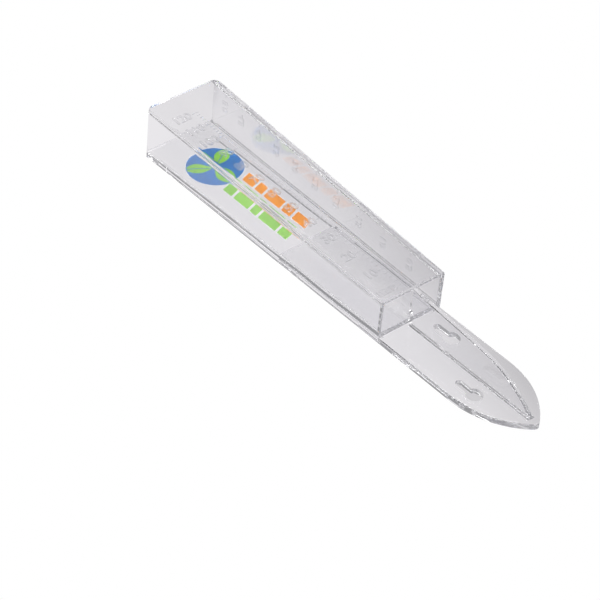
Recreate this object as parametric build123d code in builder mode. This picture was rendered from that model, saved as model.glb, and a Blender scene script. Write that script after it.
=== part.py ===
from build123d import *
import os

# A manual rain gauge lying on its back: a clear tapered measuring cup whose back rails slide
# onto the tongue of a pointed mounting stake. Millimetres, +Z up, +X from the mouth to the point.
# The origin is the middle of the footprint, on the plane that the gauge lies on.

# Measuring cup
cup_length = 175.0
mouth_width = 46.0
mouth_depth = 29.0
closed_width = 39.8
closed_depth = 21.2
wall = 2.0
outer_edge_radius = 0.6
inner_edge_radius = 1.5
mouth_corner_radius = 4.0
gate_radius = 1.2
gate_height = 0.5
gate_above_back = 5.9

# Guide rails on the back of the cup, and the lips that hold the tongue between them
rail_width = 2.0
rail_start = 10.0
lip_reach = 1.2
lip_thickness = 0.9
lip_length = 13.0

# Mounting stake: the blade stands a step in from the sides of the cup's narrower end
blade_step_in = 0.1
blade_thickness = 3.0
stake_reach = 87.5
point_length = 39.0
tip_radius = 2.6
tongue_length = 74.0
tongue_corner_radius = 1.6
rib_thickness = 2.4
rib_shoulder = 50.0
rib_shoulder_height = 17.0
rib_length = 83.0
rib_root_radius = 0.7
rib_relief_radius = 1.6
rib_edge_radius = 0.6
blade_edge_radius = 0.6

# Keyholes: a screw head enters the round part and the shank slides into the slot
head_hole_radius = 4.3
shank_slot_width = 4.0
keyhole_travel = 10.0
upper_keyhole_from_cup = 20.2
keyhole_spacing_along = 35.4
keyhole_spacing_across = 20.2

# Clearances between the cup and the stake
face_clearance = 0.1
side_clearance = 0.15
end_clearance = 0.15

# Raised scale marks
mark_height = 0.35
mark_width = 0.5
mark_edge_gap = 1.5
inch_mark_long = 5.5
inch_mark_short = 3.2
inch_marks = 50
inch_marks_per_inch = 10
inch_marks_per_number = 5
millimetre_mark_long = 3.6
millimetre_mark_short = 2.0
millimetre_line_place = -2.8
millimetre_step = 2.0
millimetre_marks = 60
millimetre_marks_per_number = 5
inch = 25.4
level_precision = 0.001

# Printed badge on the back of the cup
ink_thickness = 0.1
badge_radius = 14.3
badge_from_mouth = 29.9
leaf_length = 15.0
leaf_width = 7.0
leaf_offset = 8.2
leaf_count = 3
row_height = 6.2
row_slant = 2.0
row_bar_gap = 1.5
orange_row_middle = 6.7
green_row_middle = -4.6
orange_bars = (8.0, 5.5, 12.0, 6.5, 10.0)
green_bars = (6.5, 11.0, 5.0, 13.0, 7.0)

# Places worked out from the sizes above
overall_length = cup_length + stake_reach
x_mouth = -overall_length / 2
x_closed = x_mouth + cup_length
x_tip = x_closed + stake_reach
x_blade = x_closed + end_clearance
blade_width = min(mouth_width, closed_width) - 2 * blade_step_in
point_arc_radius = (point_length**2 + (blade_width / 2) ** 2) / blade_width
x_sharp_tip = x_tip + tip_radius * (point_arc_radius / point_length - 1)
x_tongue_end = x_closed - tongue_length
z_back = blade_thickness + face_clearance
rail_outer = blade_width / 2
rail_inner = rail_outer - rail_width
tongue_half_width = rail_inner - side_clearance
ink_bottom = z_back - ink_thickness


def cup_width_at(x):
    """Outer width of the cup at a place along its length."""
    share = (x - x_mouth) / cup_length
    return mouth_width + (closed_width - mouth_width) * share


def cup_depth_at(x):
    """Outer depth of the cup, from its back to its front, at a place along its length."""
    share = (x - x_mouth) / cup_length
    return mouth_depth + (closed_depth - mouth_depth) * share


def cross_section(x, inset):
    """Plane across the cup at x, centred on the section that lies inset from the outer faces."""
    middle = z_back + cup_depth_at(x) / 2
    plane = Plane(origin=(x, 0, middle), x_dir=(0, 1, 0), z_dir=(1, 0, 0))
    return plane, cup_width_at(x) - 2 * inset, cup_depth_at(x) - 2 * inset


def rain_held(height):
    """Rain depth that fills the cup to a height above its inner floor."""
    inner_floor = x_closed - wall
    floor_width = cup_width_at(inner_floor) - 2 * wall
    floor_depth = cup_depth_at(inner_floor) - 2 * wall
    width_growth = (mouth_width - closed_width) / cup_length
    depth_growth = (mouth_depth - closed_depth) / cup_length
    volume = floor_width * floor_depth * height
    volume += (floor_width * depth_growth + floor_depth * width_growth) * height**2 / 2
    volume += width_growth * depth_growth * height**3 / 3
    return volume / ((mouth_width - 2 * wall) * (mouth_depth - 2 * wall))


def level_for(rain):
    """Place along the cup of the water level for a rain depth, found by halving."""
    low, high = 0.0, cup_length
    while high - low > level_precision:
        middle = (low + high) / 2
        if rain_held(middle) < rain:
            low = middle
        else:
            high = middle
    return x_closed - wall - low


# Measuring cup: tapered box, hollowed from the mouth, with rounded mouth corners
with BuildPart() as measuring_cup:
    for x in (x_mouth, x_closed):
        plane, width, depth = cross_section(x, 0)
        with BuildSketch(plane):
            RectangleRounded(width, depth, outer_edge_radius)
    loft(ruled=True)
    for x in (x_mouth, x_closed - wall):
        plane, width, depth = cross_section(x, wall)
        with BuildSketch(plane):
            RectangleRounded(width, depth, inner_edge_radius)
    loft(ruled=True, mode=Mode.SUBTRACT)
    with BuildSketch(Plane.XY.offset(z_back)):
        with BuildLine():
            Polyline(
                (x_mouth, -mouth_width / 2),
                (x_closed, -closed_width / 2),
                (x_closed, closed_width / 2),
                (x_mouth, mouth_width / 2),
                close=True,
            )
        outline = make_face()
        mouth_corners = outline.vertices().group_by(Axis.X)[0]
        fillet(mouth_corners, mouth_corner_radius)
    extrude(amount=mouth_depth, mode=Mode.INTERSECT)
    with BuildSketch(Plane.YZ.offset(x_closed)):
        with Locations((0, z_back + gate_above_back)):
            Circle(gate_radius)
    extrude(amount=gate_height)
    for side in (-1, 1):
        rail_middle = side * (rail_inner + rail_width / 2)
        with BuildSketch(Plane.XY):
            with Locations(((x_mouth + rail_start + x_closed) / 2, rail_middle)):
                Rectangle(cup_length - rail_start, rail_width)
        extrude(amount=z_back)
        lip_starts = (x_mouth + rail_start, x_tongue_end + wall, x_closed - wall - lip_length)
        with BuildSketch(Plane.XY):
            for start in lip_starts:
                with Locations((start + lip_length / 2, side * (rail_inner - lip_reach / 2))):
                    Rectangle(lip_length, lip_reach)
        extrude(amount=lip_thickness)
measuring_cup.part.label = "measuring_cup"


def rib_side():
    """Side outline of the centre rib, with reliefs where it meets the cup's floor and the blade."""
    with BuildSketch(mode=Mode.PRIVATE) as side:
        with BuildLine():
            base = Line((x_blade + rib_length, blade_thickness), (x_blade, blade_thickness))
            front = Line(base @ 1, (x_blade, z_back + closed_depth))
            shoulder = (x_blade + rib_shoulder, blade_thickness + rib_shoulder_height)
            top = Line(front @ 1, shoulder)
            TangentArc(top @ 1, base @ 0, tangent=top % 1)
        make_face()
        with Locations((x_blade, z_back + gate_above_back), (x_blade, blade_thickness)):
            Circle(rib_relief_radius, mode=Mode.SUBTRACT)
    return side.sketch


# Centre rib: an upright plate whose long front edges are rounded
with BuildPart() as centre_rib:
    with BuildSketch(Plane.XZ):
        add(rib_side())
    extrude(amount=rib_thickness / 2, both=True)
    outline_edges = centre_rib.edges().filter_by(Plane.XZ).filter_by(Axis.X, reverse=True)
    front_edges = outline_edges.sort_by(SortBy.LENGTH)[-4:]
    fillet(front_edges, rib_edge_radius)


# Root of the centre rib: concave fillets on the blade, running out with the rib
with BuildPart() as rib_root:
    with BuildSketch(Plane.YZ.offset(x_blade)):
        with BuildLine():
            foot = (rib_thickness / 2 + rib_root_radius, blade_thickness)
            head = (rib_thickness / 2, blade_thickness + rib_root_radius)
            Polyline(foot, (0, foot[1]), (0, head[1]), head)
            RadiusArc(head, foot, rib_root_radius)
        make_face()
        mirror(about=Plane.YZ)
    extrude(amount=rib_length)
    with BuildSketch(Plane.XZ.offset(-blade_width / 2)):
        add(rib_side())
    extrude(amount=blade_width, mode=Mode.INTERSECT)


# Mounting stake: ogive blade with a tongue, a centre rib and two keyholes
with BuildPart() as mounting_stake:
    with BuildSketch(Plane.XY):
        with BuildLine():
            side_line = Line((x_blade, -rail_outer), (x_sharp_tip - point_length, -rail_outer))
            TangentArc(side_line @ 1, (x_sharp_tip, 0), tangent=side_line % 1)
            Line((x_blade, 0), side_line @ 0)
            mirror(about=Plane.XZ)
        outline = make_face()
        fillet(outline.vertices().sort_by(Axis.X)[-1], tip_radius)
    extrude(amount=blade_thickness)
    blade_front = mounting_stake.faces().sort_by(Axis.Z)[-1]
    blade_end = blade_front.edges().sort_by(Axis.X)[0]
    fillet(blade_front.edges() - [blade_end], blade_edge_radius)
    with BuildSketch(Plane.XY):
        with Locations(((x_tongue_end + x_blade) / 2, 0)):
            Rectangle(x_blade - x_tongue_end, 2 * tongue_half_width)
    extrude(amount=blade_thickness)
    tongue_corners = mounting_stake.edges().filter_by(Axis.Z).group_by(Axis.X)[0]
    fillet(tongue_corners, tongue_corner_radius)
    for side in (-1, 1):
        rebate_width = lip_reach + side_clearance
        rebate_middle = side * (tongue_half_width - rebate_width / 2 + side_clearance / 2)
        with BuildSketch(Plane.XY):
            with Locations(((x_tongue_end + x_blade) / 2, rebate_middle)):
                Rectangle(tongue_length + end_clearance, rebate_width + side_clearance)
        extrude(amount=lip_thickness + face_clearance, mode=Mode.SUBTRACT)
    add(centre_rib.part)
    add(rib_root.part)
    upper = (x_closed + upper_keyhole_from_cup, keyhole_spacing_across / 2)
    lower = (upper[0] + keyhole_spacing_along, -upper[1])
    with BuildSketch(Plane.XY):
        for place in (upper, lower):
            with Locations(place):
                Circle(head_hole_radius)
            with Locations((place[0] - keyhole_travel / 2, place[1])):
                SlotCenterToCenter(keyhole_travel, shank_slot_width)
    extrude(amount=blade_thickness, mode=Mode.SUBTRACT)
mounting_stake.part.label = "mounting_stake"


# Inch scale: raised marks across the side wall, long ones at every half inch
wall_run = Vector(cup_length, (closed_width - mouth_width) / 2, 0)
side_normal = Vector(-wall_run.Y, wall_run.X, 0)
side_plane = Plane(origin=(x_mouth, mouth_width / 2, z_back), x_dir=wall_run, z_dir=side_normal)
with BuildPart() as inch_scale:
    with BuildSketch(side_plane):
        for number in range(1, inch_marks + 1):
            x = level_for(number * inch / inch_marks_per_inch)
            long_mark = number % inch_marks_per_number == 0
            length = inch_mark_long if long_mark else inch_mark_short
            along = (x - x_mouth) * wall_run.length / cup_length
            front_edge = cup_depth_at(x) - mark_edge_gap
            with Locations((along, -(front_edge - length / 2))):
                Rectangle(mark_width, length)
    extrude(amount=mark_height)
inch_scale.part.label = "inch_scale"


# Millimetre scale: raised marks on the front wall, joined by a line near the middle
front_run = Vector(cup_length, 0, closed_depth - mouth_depth)
front_normal = Vector(-front_run.Z, 0, front_run.X)
front_plane = Plane(origin=(x_mouth, 0, z_back + mouth_depth), x_dir=front_run, z_dir=front_normal)
with BuildPart() as millimetre_scale:
    with BuildSketch(front_plane):
        for number in range(1, millimetre_marks + 1):
            x = level_for(number * millimetre_step)
            long_mark = number % millimetre_marks_per_number == 0
            length = millimetre_mark_long if long_mark else millimetre_mark_short
            along = (x - x_mouth) * front_run.length / cup_length
            with Locations((along, millimetre_line_place - length / 2)):
                Rectangle(mark_width, length)
        line_levels = (level_for(millimetre_step), level_for(millimetre_marks * millimetre_step))
        line_end, line_start = [(x - x_mouth) * front_run.length / cup_length for x in line_levels]
        with Locations(((line_start + line_end) / 2, millimetre_line_place)):
            Rectangle(line_end - line_start + mark_width, mark_width)
    extrude(amount=mark_height)
millimetre_scale.part.label = "millimetre_scale"


def leaf():
    """Pointed leaf outline on the badge, between its two tips."""
    with BuildSketch(mode=Mode.PRIVATE) as shape:
        with BuildLine():
            tips = ((leaf_offset - leaf_length / 2, 0), (leaf_offset + leaf_length / 2, 0))
            ThreePointArc(tips[0], (leaf_offset, leaf_width / 2), tips[1])
            ThreePointArc(tips[1], (leaf_offset, -leaf_width / 2), tips[0])
        make_face()
    return shape.sketch


def bar_row(lengths, row_middle):
    """Row of slanted bars beside the badge, at a place across the cup."""
    low = row_middle - row_height / 2
    start = x_badge + badge_radius
    with BuildSketch(mode=Mode.PRIVATE) as row:
        for length in lengths:
            with BuildLine():
                Polyline(
                    (start + row_slant, low),
                    (start + row_slant + length, low),
                    (start + length, low + row_height),
                    (start, low + row_height),
                    close=True,
                )
            make_face()
            start += length + row_bar_gap
    return row.sketch


x_badge = x_mouth + badge_from_mouth
leaf_shape = leaf()

with BuildPart() as blue_ink:
    with BuildSketch(Plane.XY.offset(ink_bottom)):
        with Locations((x_badge, 0)):
            Circle(badge_radius)
            with PolarLocations(0, leaf_count):
                add(leaf_shape, mode=Mode.SUBTRACT)
    extrude(amount=ink_thickness)
blue_ink.part.label = "blue_ink"

with BuildPart() as green_ink:
    with BuildSketch(Plane.XY.offset(ink_bottom)):
        with Locations((x_badge, 0)):
            with PolarLocations(0, leaf_count):
                add(leaf_shape)
        add(bar_row(green_bars, green_row_middle))
    extrude(amount=ink_thickness)
green_ink.part.label = "green_ink"

with BuildPart() as orange_ink:
    with BuildSketch(Plane.XY.offset(ink_bottom)):
        add(bar_row(orange_bars, orange_row_middle))
    extrude(amount=ink_thickness)
orange_ink.part.label = "orange_ink"


os.makedirs("parts", exist_ok=True)
pieces = (
    measuring_cup,
    mounting_stake,
    inch_scale,
    millimetre_scale,
    blue_ink,
    green_ink,
    orange_ink,
)
for piece in pieces:
    export_step(piece.part, f"parts/{piece.part.label}.step")
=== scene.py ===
import math

import bmesh
import bpy
from mathutils import Matrix, Vector


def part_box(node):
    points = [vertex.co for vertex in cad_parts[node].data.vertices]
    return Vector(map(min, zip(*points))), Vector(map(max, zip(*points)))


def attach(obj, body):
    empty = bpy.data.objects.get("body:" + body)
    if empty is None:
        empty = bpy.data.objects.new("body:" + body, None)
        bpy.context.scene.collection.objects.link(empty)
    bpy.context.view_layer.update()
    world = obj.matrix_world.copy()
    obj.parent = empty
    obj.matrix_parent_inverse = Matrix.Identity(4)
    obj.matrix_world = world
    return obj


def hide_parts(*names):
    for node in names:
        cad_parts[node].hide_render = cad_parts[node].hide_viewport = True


# A clear plastic rain gauge lying on a white table: the tapered measuring cup with its raised
# scales and printed badge, on the pointed mounting stake. Metres, in the part's own frame.

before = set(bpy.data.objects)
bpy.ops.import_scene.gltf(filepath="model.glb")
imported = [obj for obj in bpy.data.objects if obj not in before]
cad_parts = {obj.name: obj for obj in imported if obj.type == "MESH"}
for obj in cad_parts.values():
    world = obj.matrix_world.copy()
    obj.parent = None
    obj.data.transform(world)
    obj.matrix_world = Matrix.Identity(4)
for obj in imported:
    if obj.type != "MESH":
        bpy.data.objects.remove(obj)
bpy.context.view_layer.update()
scene = bpy.context.scene
scene.view_settings.view_transform = "Standard"
scene.cycles.max_bounces = 96
scene.cycles.transmission_bounces = 96
scene.cycles.transparent_max_bounces = 32
scene.cycles.glossy_bounces = 96

MM = 0.001
X_AXIS = Vector((1, 0, 0))
Y_AXIS = Vector((0, 1, 0))
Z_AXIS = Vector((0, 0, 1))


# ---------------------------------------------------------------- shader maths


class Number:
    """A number socket in a shader tree. Arithmetic on it adds Math nodes."""

    def __init__(self, shader, socket):
        self.shader = shader
        self.socket = socket

    def math(self, operation, first, second):
        """Number from one Math node on two values."""
        node = self.shader.node(
            "ShaderNodeMath", {"operation": operation}, {0: first, 1: second}
        )
        return Number(self.shader, node.outputs[0])

    def __add__(self, other):
        return self.math("ADD", self, other)

    def __radd__(self, other):
        return self.math("ADD", other, self)

    def __sub__(self, other):
        return self.math("SUBTRACT", self, other)

    def __rsub__(self, other):
        return self.math("SUBTRACT", other, self)

    def __mul__(self, other):
        return self.math("MULTIPLY", self, other)

    def __rmul__(self, other):
        return self.math("MULTIPLY", other, self)


class Shader:
    """The node tree of a material or world, and the one method that adds its nodes."""

    def __init__(self, owner):
        self.owner = owner
        owner.use_nodes = True
        self.tree = owner.node_tree
        self.tree.nodes.clear()
        self.coordinates = self.node("ShaderNodeTexCoord")
        self.place = self.coordinates.outputs["Object"]

    def node(self, kind, settings=None, sockets=None):
        """Node of a type, with its settings, then the values or links of its sockets."""
        node = self.tree.nodes.new(kind)
        for name, value in (settings or {}).items():
            setattr(node, name, value)
        for name, value in (sockets or {}).items():
            if isinstance(value, Number):
                value = value.socket
            if isinstance(value, bpy.types.NodeSocket):
                self.tree.links.new(value, node.inputs[name])
            else:
                node.inputs[name].default_value = value
        return node

    def noise(self, size, detail=2.0, stretch=(1, 1, 1)):
        """Noise from 0 to 1 with features of a size in metres, stretched along the axes."""
        mapping = self.node(
            "ShaderNodeMapping",
            {"vector_type": "POINT"},
            {"Vector": self.place, "Scale": stretch},
        )
        noise = self.node(
            "ShaderNodeTexNoise",
            {"noise_dimensions": "3D"},
            {"Vector": mapping.outputs["Vector"], "Scale": 1 / size, "Detail": detail},
        )
        return Number(self, noise.outputs["Fac"])

    def ramp(self, value, low, high):
        """The value spread from 0 at low to 1 at high, eased at both ends."""
        node = self.node(
            "ShaderNodeMapRange",
            {"interpolation_type": "SMOOTHSTEP"},
            {"Value": value, "From Min": low, "From Max": high},
        )
        return Number(self, node.outputs["Result"])

    def mix(self, factor, first, second):
        """Colour between two colours."""
        node = self.node(
            "ShaderNodeMix", {"data_type": "RGBA"}, {0: factor, 6: first, 7: second}
        )
        return node.outputs[2]

    def bump(self, height, depth):
        """Normal from a height of 0 to 1 that stands for a depth in metres."""
        node = self.node(
            "ShaderNodeBump", {}, {"Strength": 1.0, "Distance": depth, "Height": height}
        )
        return node.outputs["Normal"]

    def finish(self, surface, inside=None):
        """The material, with its surface and what fills it joined to the output."""
        output = self.node("ShaderNodeOutputMaterial", {}, {"Surface": surface})
        if inside is not None:
            self.tree.links.new(inside, output.inputs["Volume"])
        return self.owner


def new_shader(name):
    """Shader of a new material."""
    return Shader(bpy.data.materials.new(name))


SHADOW_TINT = (0.93, 0.93, 0.94, 1)


def see_through(shader, plastic):
    """Clear plastic that lets the lights' shadow rays straight through, slightly dimmed."""
    rays = shader.node("ShaderNodeLightPath")
    clear = shader.node("ShaderNodeBsdfTransparent", {}, {"Color": SHADOW_TINT})
    mixed = shader.node(
        "ShaderNodeMixShader",
        {},
        {0: rays.outputs["Is Shadow Ray"], 1: plastic, 2: clear.outputs[0]},
    )
    return mixed.outputs[0]


# ---------------------------------------------------------------- finishes

STYRENE_IOR = 1.54
STYRENE_BODY = (0.74, 0.74, 0.77, 1)
STYRENE_DENSITY = 4.0
POLISH = 0.012
FLOW_WAVE = 18 * MM
FLOW_DEPTH = 0.25 * MM
HAZE_PATCH = 9 * MM
HAZE_ROUGHNESS = 0.03
SCRATCH_SIZE = 1.2 * MM
SCRATCH_ROUGHNESS = 0.08
SCRATCH_SHARE = 0.004

MARK_POLISH = 0.03
MARK_GRAIN = 0.25 * MM
MARK_GRAIN_DEPTH = 0.03 * MM
MARK_GRAIN_ROUGHNESS = 0.05
MARK_PATCH = 3 * MM
MARK_CLEAR = (0.99, 0.99, 0.995, 1)
MARK_FROSTED = (0.95, 0.95, 0.96, 1)

INK_SATIN = 0.38
INK_GLOSS = 0.12
INK_PATCH = 6 * MM
INK_GRAIN = 0.3 * MM
INK_GRAIN_DEPTH = 0.01 * MM
INK_GRAIN_ROUGHNESS = 0.2
PINHOLE_SIZE = 0.7 * MM
PATCH_SHARE = 0.6
PINHOLE_SHARE = 0.4


def moulded_styrene(name, clear, shaded):
    """Glossy clear polystyrene: flow waves, handling haze and hairline scratches."""
    shader = new_shader(name)
    flow = shader.noise(FLOW_WAVE, detail=1.0, stretch=(0.35, 1.0, 1.0))
    haze = shader.ramp(shader.noise(HAZE_PATCH, detail=4.0), 0.52, 0.75)
    hairlines = shader.noise(SCRATCH_SIZE, detail=2.0, stretch=(0.06, 1, 1))
    scratches = shader.ramp(hairlines, 0.68, 0.76)
    tint = shader.mix(shader.ramp(flow, 0.35, 0.7).socket, clear, shaded)
    height = flow + scratches * SCRATCH_SHARE
    plastic = shader.node(
        "ShaderNodeBsdfPrincipled",
        {},
        {
            "Base Color": tint,
            "Roughness": POLISH + haze * HAZE_ROUGHNESS + scratches * SCRATCH_ROUGHNESS,
            "Transmission Weight": 1.0,
            "IOR": STYRENE_IOR,
            "Normal": shader.bump(height, FLOW_DEPTH),
        },
    )
    smoke = shader.node(
        "ShaderNodeVolumeAbsorption", {}, {"Color": STYRENE_BODY, "Density": STYRENE_DENSITY}
    )
    return shader.finish(see_through(shader, plastic.outputs[0]), smoke.outputs[0])


def frosted_marks(name):
    """Raised marks: the same plastic, left slightly frosted by the mould's etched cuts."""
    shader = new_shader(name)
    grain = shader.noise(MARK_GRAIN, detail=3.0)
    patches = shader.noise(MARK_PATCH, detail=2.0)
    plastic = shader.node(
        "ShaderNodeBsdfPrincipled",
        {},
        {
            "Base Color": shader.mix(patches.socket, MARK_CLEAR, MARK_FROSTED),
            "Roughness": MARK_POLISH + grain * MARK_GRAIN_ROUGHNESS,
            "Transmission Weight": 1.0,
            "IOR": STYRENE_IOR,
            "Normal": shader.bump(grain, MARK_GRAIN_DEPTH),
        },
    )
    return shader.finish(see_through(shader, plastic.outputs[0]))


def printed_ink(name, full, thin):
    """Pad-printed ink: satin, with thin patches, pinholes and the fine grain of the pad."""
    shader = new_shader(name)
    patches = shader.noise(INK_PATCH, detail=3.0)
    grain = shader.noise(INK_GRAIN, detail=2.0)
    pinholes = shader.ramp(shader.noise(PINHOLE_SIZE, detail=1.0), 0.76, 0.8)
    wear = shader.ramp(patches, 0.4, 0.8) * PATCH_SHARE + pinholes * PINHOLE_SHARE
    colour = shader.mix(wear.socket, full, thin)
    ink = shader.node(
        "ShaderNodeBsdfPrincipled",
        {},
        {
            "Base Color": colour,
            "Roughness": INK_SATIN + grain * INK_GRAIN_ROUGHNESS,
            "Specular IOR Level": INK_GLOSS,
            "Normal": shader.bump(grain, INK_GRAIN_DEPTH),
        },
    )
    return shader.finish(ink.outputs[0])


cup_plastic = moulded_styrene("cup_styrene", (0.99, 0.99, 0.995, 1), (0.965, 0.965, 0.975, 1))
stake_plastic = moulded_styrene("stake_styrene", (0.985, 0.985, 0.99, 1), (0.96, 0.96, 0.97, 1))
mark_plastic = frosted_marks("raised_mark_styrene")
blue_print = printed_ink("blue_print", (0.001, 0.14, 0.42, 1), (0.003, 0.17, 0.48, 1))
green_print = printed_ink("green_print", (0.2, 0.52, 0.02, 1), (0.27, 0.6, 0.05, 1))
orange_print = printed_ink("orange_print", (0.78, 0.27, 0.01, 1), (0.84, 0.34, 0.03, 1))
white_print = printed_ink("white_print", (0.9, 0.9, 0.9, 1), (0.8, 0.8, 0.82, 1))


def finish_node(node, material):
    """Gives a CAD node its material."""
    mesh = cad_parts[node].data
    mesh.materials.clear()
    mesh.materials.append(material)


finish_node("measuring_cup", cup_plastic)
finish_node("mounting_stake", stake_plastic)


# ---------------------------------------------------------------- making and placing meshes


def plain_mesh(obj):
    """Mesh of an object as it stands, with its modifiers worked out."""
    scene.collection.objects.link(obj)
    bpy.context.view_layer.update()
    evaluated = obj.evaluated_get(bpy.context.evaluated_depsgraph_get())
    mesh = bpy.data.meshes.new_from_object(evaluated)
    bpy.data.objects.remove(obj)
    return mesh


def tidied(mesh):
    """The mesh with its doubles merged and its faces turned outwards."""
    work = bmesh.new()
    work.from_mesh(mesh)
    bmesh.ops.remove_doubles(work, verts=work.verts, dist=0.001 * MM)
    bmesh.ops.recalc_face_normals(work, faces=work.faces)
    work.to_mesh(mesh)
    work.free()
    return mesh


def joined(name, meshes):
    """One mesh made of several."""
    work = bmesh.new()
    for mesh in meshes:
        work.from_mesh(mesh)
    whole = bpy.data.meshes.new(name)
    work.to_mesh(whole)
    work.free()
    return whole


def add_piece(name, mesh, material, stands_for=None):
    """Adds a piece that rides with the cup, made of a mesh that is already in place."""
    mesh.materials.clear()
    mesh.materials.append(material)
    piece = bpy.data.objects.new(name, mesh)
    scene.collection.objects.link(piece)
    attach(piece, "cup")
    if stands_for:
        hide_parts(stands_for)


# ---------------------------------------------------------------- raised scales

MARK_SINK = 0.08 * MM
NUMBER_OUTLINE = 0.12 * MM
NUMBER_EDGE = 0.05 * MM
NUMBER_SHARE = 0.6
MARKS_APART = 0.8 * MM
FACING = 0.9
RIDGE_SIDES = 10
MARKS_A_NUMBER = 5
INCH_MARKS_AN_INCH = 10
INCH_RIDGE_WIDTH = 0.5 * MM
INCH_NUMBER_SIZE = 5.8 * MM
INCH_NUMBER_GAP = 2.2 * MM
MILLIMETRES_A_MARK = 2
MILLIMETRE_RIDGE_WIDTH = 0.45 * MM
MILLIMETRE_NUMBER_SIZE = 7.4 * MM
MILLIMETRE_NUMBER_GAP = 0.8 * MM
UNIT_BELOW_FIRST_NUMBER = 12.2 * MM


class ScaleWall:
    """A cup wall with a scale on it. Its own axes are right and up as read, and outwards."""

    def __init__(self, node, outwards):
        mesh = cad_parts[node].data
        facing = [face for face in mesh.polygons if face.normal.dot(outwards) > FACING]
        self.out = max(facing, key=lambda face: face.area).normal.copy()
        self.up = (X_AXIS.dot(self.out) * self.out - X_AXIS).normalized()
        self.right = self.up.cross(self.out)
        depths = [vertex.co.dot(self.out) for vertex in mesh.vertices]
        self.surface = min(depths)
        self.mark_height = max(depths) - self.surface
        turn = Matrix((self.right, self.up, self.out)).transposed().to_4x4()
        self.matrix = turn @ Matrix.Translation((0, 0, self.surface))
        self.marks = self.read_marks(mesh)

    def read_marks(self, mesh):
        """(place up, left end, right end) of each mark, from the lowest up."""
        corners = sorted(
            (vertex.co.dot(self.up), vertex.co.dot(self.right)) for vertex in mesh.vertices
        )
        groups = [[corners[0]]]
        for corner in corners[1:]:
            if corner[0] - groups[-1][-1][0] > MARKS_APART:
                groups.append([])
            groups[-1].append(corner)
        marks = []
        for group in groups:
            ups = [corner[0] for corner in group]
            rights = [corner[1] for corner in group]
            marks.append(((min(ups) + max(ups)) / 2, min(rights), max(rights)))
        return marks


def ridge_tree(material):
    """Geometry nodes that lay a rounded ridge of its own length on each point."""
    tree = bpy.data.node_groups.new("scale_ridges", "GeometryNodeTree")
    tree.interface.new_socket("Marks", in_out="INPUT", socket_type="NodeSocketGeometry")
    for name in ("Ridge width", "Ridge height", "Sink"):
        tree.interface.new_socket(name, in_out="INPUT", socket_type="NodeSocketFloat")
    tree.interface.new_socket("Ridges", in_out="OUTPUT", socket_type="NodeSocketGeometry")

    def node(kind, settings=None, sockets=None):
        made = tree.nodes.new(kind)
        for name, value in (settings or {}).items():
            setattr(made, name, value)
        for name, value in (sockets or {}).items():
            if isinstance(value, bpy.types.NodeSocket):
                tree.links.new(value, made.inputs[name])
            else:
                made.inputs[name].default_value = value
        return made

    given = node("NodeGroupInput").outputs
    length = node(
        "GeometryNodeInputNamedAttribute", {"data_type": "FLOAT"}, {"Name": "mark_length"}
    )
    full_height = node(
        "ShaderNodeMath", {"operation": "ADD"}, {0: given["Ridge height"], 1: given["Sink"]}
    )
    rise = node(
        "ShaderNodeMath", {"operation": "SUBTRACT"}, {0: given["Ridge height"], 1: given["Sink"]}
    )
    half_rise = node("ShaderNodeMath", {"operation": "MULTIPLY"}, {0: rise.outputs[0], 1: 0.5})
    line = node("GeometryNodeCurvePrimitiveLine", {}, {"Start": (-0.5, 0, 0), "End": (0.5, 0, 0)})
    section = node(
        "GeometryNodeCurvePrimitiveCircle", {}, {"Resolution": RIDGE_SIDES, "Radius": 0.5}
    )
    ridge = node(
        "GeometryNodeCurveToMesh",
        {},
        {
            "Curve": line.outputs["Curve"],
            "Profile Curve": section.outputs["Curve"],
            "Fill Caps": True,
        },
    )
    size = node(
        "ShaderNodeCombineXYZ",
        {},
        {"X": length.outputs[0], "Y": given["Ridge width"], "Z": full_height.outputs[0]},
    )
    laid = node(
        "GeometryNodeInstanceOnPoints",
        {},
        {"Points": given["Marks"], "Instance": ridge.outputs["Mesh"], "Scale": size.outputs[0]},
    )
    lift = node("ShaderNodeCombineXYZ", {}, {"Z": half_rise.outputs[0]})
    lifted = node(
        "GeometryNodeTranslateInstances",
        {},
        {
            "Instances": laid.outputs["Instances"],
            "Translation": lift.outputs[0],
            "Local Space": False,
        },
    )
    real = node("GeometryNodeRealizeInstances", {}, {"Geometry": lifted.outputs["Instances"]})
    finished = node(
        "GeometryNodeSetMaterial", {}, {"Geometry": real.outputs["Geometry"], "Material": material}
    )
    node("NodeGroupOutput", {}, {"Ridges": finished.outputs["Geometry"]})
    return tree


def ridge_mesh(name, tree, wall, marks, width):
    """Ridges laid on a wall: one for each (place up, left end, right end)."""
    points = bpy.data.meshes.new(name)
    middles = [((left + right) / 2, up, 0) for up, left, right in marks]
    points.from_pydata(middles, [], [])
    lengths = points.attributes.new("mark_length", "FLOAT", "POINT")
    lengths.data.foreach_set("value", [right - left for up, left, right in marks])
    obj = bpy.data.objects.new(name, points)
    modifier = obj.modifiers.new("ridges", "NODES")
    modifier.node_group = tree
    sizes = {"Ridge width": width, "Ridge height": wall.mark_height, "Sink": MARK_SINK}
    for item in tree.interface.items_tree:
        if item.in_out == "INPUT" and item.name in sizes:
            modifier[item.identifier] = sizes[item.name]
    mesh = plain_mesh(obj)
    mesh.transform(wall.matrix)
    return tidied(mesh)


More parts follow.
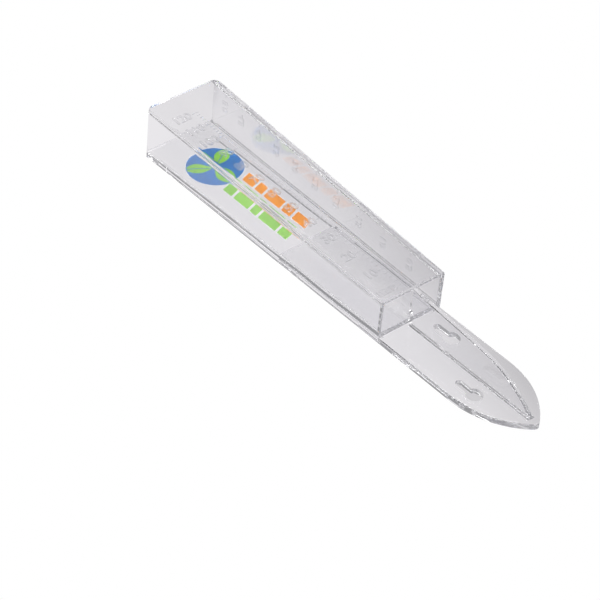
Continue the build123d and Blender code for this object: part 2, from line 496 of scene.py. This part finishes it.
def number_mesh(wall, text, size, right, up, align):
    """Raised characters on a wall, centred at a height and aligned at a place across it."""
    data = bpy.data.curves.new("raised_number", "FONT")
    data.body = text
    data.size = size
    data.align_x = align
    data.align_y = "CENTER"
    data.offset = NUMBER_OUTLINE
    data.resolution_u = 3
    data.bevel_depth = NUMBER_EDGE
    data.bevel_resolution = 1
    data.extrude = (NUMBER_SHARE * wall.mark_height + MARK_SINK) / 2 - NUMBER_EDGE
    mesh = plain_mesh(bpy.data.objects.new("raised_number", data))
    lift = (NUMBER_SHARE * wall.mark_height - MARK_SINK) / 2
    mesh.transform(wall.matrix @ Matrix.Translation((right, up, lift)))
    return tidied(mesh)


ridges = ridge_tree(mark_plastic)

inch_wall = ScaleWall("inch_scale", Y_AXIS)
inch_meshes = [
    ridge_mesh("inch_marks", ridges, inch_wall, inch_wall.marks, INCH_RIDGE_WIDTH)
]
for index in range(MARKS_A_NUMBER, len(inch_wall.marks) + 1, MARKS_A_NUMBER):
    up, left, right = inch_wall.marks[index - 1]
    text = f"{index / INCH_MARKS_AN_INCH:.1f}"
    inch_meshes.append(
        number_mesh(inch_wall, text, INCH_NUMBER_SIZE, right + INCH_NUMBER_GAP, up, "LEFT")
    )
add_piece(
    "inch_marks_and_numbers",
    joined("inch_marks_and_numbers", inch_meshes),
    mark_plastic,
    "inch_scale",
)

front_wall = ScaleWall("millimetre_scale", Z_AXIS)
millimetre_meshes = [
    ridge_mesh("millimetre_marks", ridges, front_wall, front_wall.marks, MILLIMETRE_RIDGE_WIDTH)
]
for index in range(MARKS_A_NUMBER, len(front_wall.marks) + 1, MARKS_A_NUMBER):
    up, left, right = front_wall.marks[index - 1]
    text = str(MILLIMETRES_A_MARK * index)
    place = left - MILLIMETRE_NUMBER_GAP
    millimetre_meshes.append(
        number_mesh(front_wall, text, MILLIMETRE_NUMBER_SIZE, place, up, "RIGHT")
    )
up, left, right = front_wall.marks[MARKS_A_NUMBER - 1]
unit_up = up - UNIT_BELOW_FIRST_NUMBER
millimetre_meshes.append(
    number_mesh(front_wall, "mm", MILLIMETRE_NUMBER_SIZE, left, unit_up, "RIGHT")
)
add_piece(
    "millimetre_marks_and_numbers",
    joined("millimetre_marks_and_numbers", millimetre_meshes),
    mark_plastic,
    "millimetre_scale",
)


# ---------------------------------------------------------------- printed badge

INK_GAP = 0.02 * MM
UNDERBASE_EDGE = 0.22 * MM
LEAVES = 3
LEAF_TIPS = (0.07, 1.09)
LEAF_HALF_WIDTH = 0.25
LEAF_MIDRIB = 0.016
BAR_GAP = 1.5 * MM
BAR_SLANT = 2.0 * MM
BAR_CORNER = 0.6 * MM
DISC_STEPS = 96
LEAF_STEPS = 24
CORNER_STEPS = 4
ORANGE_BARS = (8.0, 5.5, 12.0, 6.5, 10.0)
GREEN_BARS = (6.5, 11.0, 5.0, 13.0, 7.0)
GREEN_ROW_MIDDLE = -4.6 * MM
ROW_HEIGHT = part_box("orange_ink")[1].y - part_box("orange_ink")[0].y
GREEN_ROW_TOP = GREEN_ROW_MIDDLE + ROW_HEIGHT / 2


def circle_points(centre, radius):
    """Points round a circle."""
    turns = [2 * math.pi * step / DISC_STEPS for step in range(DISC_STEPS)]
    return [
        (centre[0] + radius * math.cos(turn), centre[1] + radius * math.sin(turn)) for turn in turns
    ]


def leaf_halves(centre, radius):
    """Outlines of the two halves of each leaf on a round badge, split by the midrib."""
    outlines = []
    for leaf in range(LEAVES):
        turn = 2 * math.pi * leaf / LEAVES
        for side in (-1, 1):
            local = []
            for step in range(LEAF_STEPS + 1):
                share = step / LEAF_STEPS
                along = LEAF_TIPS[0] + (LEAF_TIPS[1] - LEAF_TIPS[0]) * share
                across = LEAF_MIDRIB + LEAF_HALF_WIDTH * math.sin(math.pi * share)
                local.append((along, side * across))
            local = [(x, y) for x, y in local if math.hypot(x, y) < 1.0]
            ends = [(local[-1][0], side * LEAF_MIDRIB), (local[0][0], side * LEAF_MIDRIB)]
            outlines.append([
                (
                    centre[0] + radius * (x * math.cos(turn) - y * math.sin(turn)),
                    centre[1] + radius * (x * math.sin(turn) + y * math.cos(turn)),
                )
                for x, y in local + ends
            ])
    return outlines


def rounded_bar(corners):
    """Outline of a slanted bar with its corners rounded off."""
    outline = []
    for index, corner in enumerate(corners):
        here = Vector(corner)
        last = Vector(corners[index - 1])
        following = Vector(corners[(index + 1) % len(corners)])
        before = here + (last - here).normalized() * BAR_CORNER
        after = here + (following - here).normalized() * BAR_CORNER
        for step in range(CORNER_STEPS + 1):
            share = step / CORNER_STEPS
            point = before.lerp(here, share).lerp(here.lerp(after, share), share)
            outline.append(tuple(point))
    return outline


def bar_row(node, lengths):
    """Outlines of a row of slanted bars, at the place across the cup of its printed node.

    The green node also holds the leaves, so its row is placed by the orange row and its own middle.
    """
    low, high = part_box(node)
    start = low.x
    if node == "green_ink":
        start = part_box("orange_ink")[0].x
        high = Vector((high.x, GREEN_ROW_TOP, high.z))
        low = Vector((low.x, GREEN_ROW_TOP - ROW_HEIGHT, low.z))
    outlines = []
    for length in lengths:
        reach = length * MM
        outlines.append(
            rounded_bar([
                (start + BAR_SLANT, low.y),
                (start + BAR_SLANT + reach, low.y),
                (start + reach, high.y),
                (start, high.y),
            ])
        )
        start += reach + BAR_GAP
    return outlines


def print_mesh(name, outlines, low, high, grown=0.0):
    """Thin printed layer with these outlines, where one inside another is a hole."""
    curve = bpy.data.curves.new(name, "CURVE")
    curve.dimensions = "2D"
    curve.fill_mode = "BOTH"
    curve.extrude = (high - low) / 2
    curve.offset = grown
    for outline in outlines:
        spline = curve.splines.new("POLY")
        spline.points.add(len(outline) - 1)
        for point, (x, y) in zip(spline.points, outline):
            point.co = (x, y, 0, 1)
        spline.use_cyclic_u = True
    mesh = plain_mesh(bpy.data.objects.new(name, curve))
    mesh.transform(Matrix.Translation((0, 0, (low + high) / 2)))
    return tidied(mesh)


badge_low, badge_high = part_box("blue_ink")
badge_centre = ((badge_low.x + badge_high.x) / 2, 0.0)
badge_radius = (badge_high.y - badge_low.y) / 2
ink_low = (badge_low.z + badge_high.z) / 2
ink_high = badge_high.z - INK_GAP
disc = circle_points(badge_centre, badge_radius)
leaves = leaf_halves(badge_centre, badge_radius)
orange_row = bar_row("orange_ink", ORANGE_BARS)
green_row = bar_row("green_ink", GREEN_BARS)
inks = (
    ("blue_badge", [disc] + leaves, blue_print, "blue_ink"),
    ("green_leaves_and_bars", leaves + green_row, green_print, "green_ink"),
    ("orange_bars", orange_row, orange_print, "orange_ink"),
)
for name, outlines, ink, node in inks:
    add_piece(name, print_mesh(name, outlines, ink_low, ink_high), ink, node)
under_meshes = [
    print_mesh("underbase", [outline], badge_low.z, ink_low, UNDERBASE_EDGE)
    for outline in [disc] + orange_row + green_row
]
add_piece("white_underbase", joined("white_underbase", under_meshes), white_print)


# ---------------------------------------------------------------- table, lights and camera

TABLE_REACH = 6.0
TABLE_GAP = 0.4 * MM
SHADE_EDGE = 1.5 * MM
SHADE_END = 22 * MM
SHADE_MARGIN = 3 * MM
FALLOFF_ALONG = 0.25
FALLOFF_START = 0.0
FALLOFF_END = 70 * MM


def white_table(near_tone, far_tone, painted_blade_shadow):
    """Table top lit from within. Seen directly it is white, with a painted shadow under the blade:
    a grey patch.

    To reflected and refracted rays it is grey, with painted shade falling off from the near side to
    the far side.
    """
    mesh = bpy.data.meshes.new("table_top")
    sides = ((-1, -1), (1, -1), (1, 1), (-1, 1))
    corners = [(TABLE_REACH * x, TABLE_REACH * y, -TABLE_GAP) for x, y in sides]
    mesh.from_pydata(corners, [], [(0, 1, 2, 3)])
    table = bpy.data.objects.new("table_top", mesh)
    scene.collection.objects.link(table)
    shader = new_shader("table_white")
    along, across, _ = shader.node("ShaderNodeSeparateXYZ", {}, {0: shader.place}).outputs
    blade_low, blade_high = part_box("mounting_stake")
    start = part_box("measuring_cup")[1].x
    # Mask of the painted shadow: the blade's footprint from the cup's end, kept clear of its point
    # and inset from its sides, grey in place of its contact shadow.
    inside = shader.ramp(Number(shader, along), start, start + SHADE_EDGE)
    inside = inside * shader.ramp(blade_high.x - SHADE_END - Number(shader, along), 0, SHADE_EDGE)
    away = Number(shader, across).math("ABSOLUTE", Number(shader, across), 0)
    inside = inside * shader.ramp(blade_high.y - SHADE_MARGIN - away, 0, SHADE_EDGE)
    # Directly seen table: white, with the painted shadow under the blade.
    table_with_painted_shadow = shader.mix(inside.socket, (1, 1, 1, 1), painted_blade_shadow)
    # Painted shade: seen through the plastic, the table darkens towards the far side and, more
    # slowly, along the stake.
    painted_shade_falloff = Number(shader, across) + Number(shader, along) * FALLOFF_ALONG
    painted_shade_falloff = shader.ramp(painted_shade_falloff, FALLOFF_START, FALLOFF_END)
    through_plastic = shader.mix(painted_shade_falloff.socket, near_tone, far_tone)
    rays = shader.node("ShaderNodeLightPath")
    seen = shader.mix(rays.outputs["Is Camera Ray"], through_plastic, table_with_painted_shadow)
    glow = shader.node("ShaderNodeEmission", {}, {"Color": seen, "Strength": 1.0})
    mesh.materials.append(shader.finish(glow.outputs[0]))


def soft_light(name, place, width, height, power):
    """Softbox at a place, facing the middle of the table."""
    data = bpy.data.lights.new(name, "AREA")
    data.shape = "RECTANGLE"
    data.size = width
    data.size_y = height
    data.energy = power
    light = bpy.data.objects.new(name, data)
    scene.collection.objects.link(light)
    light.location = place
    light.rotation_euler = (-Vector(place)).to_track_quat("-Z", "Y").to_euler()


FLAG_DIRECTIONS = ((-0.5, 0.85, 0.12), (-0.7, -0.6, 0.2), (0.85, -0.1, 0.3), (0.2, -0.9, 0.35))
FLAG_OUTER = 0.955
FLAG_INNER = 0.97
FLAG_TONE = (0.01, 0.01, 0.01, 1)
CEILING_START = 0.1
CEILING_END = 0.55


def studio_world(horizon, overhead, backdrop):
    """Room with a bright horizon, a darker ceiling and dark flags. Seen directly it is white."""
    scene.world = bpy.data.worlds.new("studio")
    shader = Shader(scene.world)
    direction = shader.node(
        "ShaderNodeSeparateXYZ", {}, {0: shader.coordinates.outputs["Generated"]}
    )
    height = shader.ramp(Number(shader, direction.outputs["Z"]), CEILING_START, CEILING_END)
    room = shader.mix(height.socket, horizon, overhead)
    for flag_direction in FLAG_DIRECTIONS:
        aim = Vector(flag_direction).normalized()
        towards = shader.node(
            "ShaderNodeVectorMath",
            {"operation": "DOT_PRODUCT"},
            {0: shader.coordinates.outputs["Generated"], 1: aim},
        )
        flag = shader.ramp(Number(shader, towards.outputs["Value"]), FLAG_OUTER, FLAG_INNER)
        room = shader.mix(flag.socket, room, FLAG_TONE)
    rays = shader.node("ShaderNodeLightPath")
    colour = shader.mix(rays.outputs["Is Camera Ray"], room, backdrop)
    background = shader.node("ShaderNodeBackground", {}, {"Color": colour})
    shader.node("ShaderNodeOutputWorld", {}, {"Surface": background.outputs[0]})


def studio_camera(aim, azimuth, elevation, roll, distance, lens):
    """Camera that looks at a point from an azimuth and elevation, rolled about its own axis."""
    a = math.radians(azimuth)
    e = math.radians(elevation)
    back = Vector((math.sin(a) * math.cos(e), -math.cos(a) * math.cos(e), math.sin(e)))
    level_right = Vector((math.cos(a), math.sin(a), 0))
    right = Matrix.Rotation(math.radians(roll), 3, back) @ level_right
    up = back.cross(right)
    data = bpy.data.cameras.new("studio_camera")
    data.lens = lens
    data.clip_start = 0.01
    camera = bpy.data.objects.new("studio_camera", data)
    scene.collection.objects.link(camera)
    turned = Matrix((right, up, back)).transposed()
    camera.matrix_world = Matrix.Translation(aim + back * distance) @ turned.to_4x4()
    scene.camera = camera


white_table(
    # near and far greys of the painted shade seen through the plastic
    near_tone=(0.83, 0.815, 0.835, 1),
    far_tone=(0.5, 0.49, 0.505, 1),
    # grey of the painted shadow under the blade
    painted_blade_shadow=(0.62, 0.61, 0.63, 1),
)
studio_world(
    horizon=(0.8, 0.8, 0.81, 1),
    overhead=(0.28, 0.28, 0.29, 1),
    backdrop=(1.0, 1.0, 1.0, 1),
)
soft_light("top_softbox", place=(-0.15, -0.25, 1.5), width=0.5, height=0.5, power=10)
soft_light("far_edge_strip", place=(-0.65, 0.95, 0.3), width=0.6, height=0.1, power=1.2)
soft_light("end_edge_strip", place=(0.8, 0.66, 0.62), width=0.12, height=0.5, power=0.5)
studio_camera(
    aim=Vector((11.7, -42.3, 15.5)) * MM,
    azimuth=45.56,
    elevation=40.04,
    roll=5.83,
    distance=1.2604,
    lens=161.15,
)
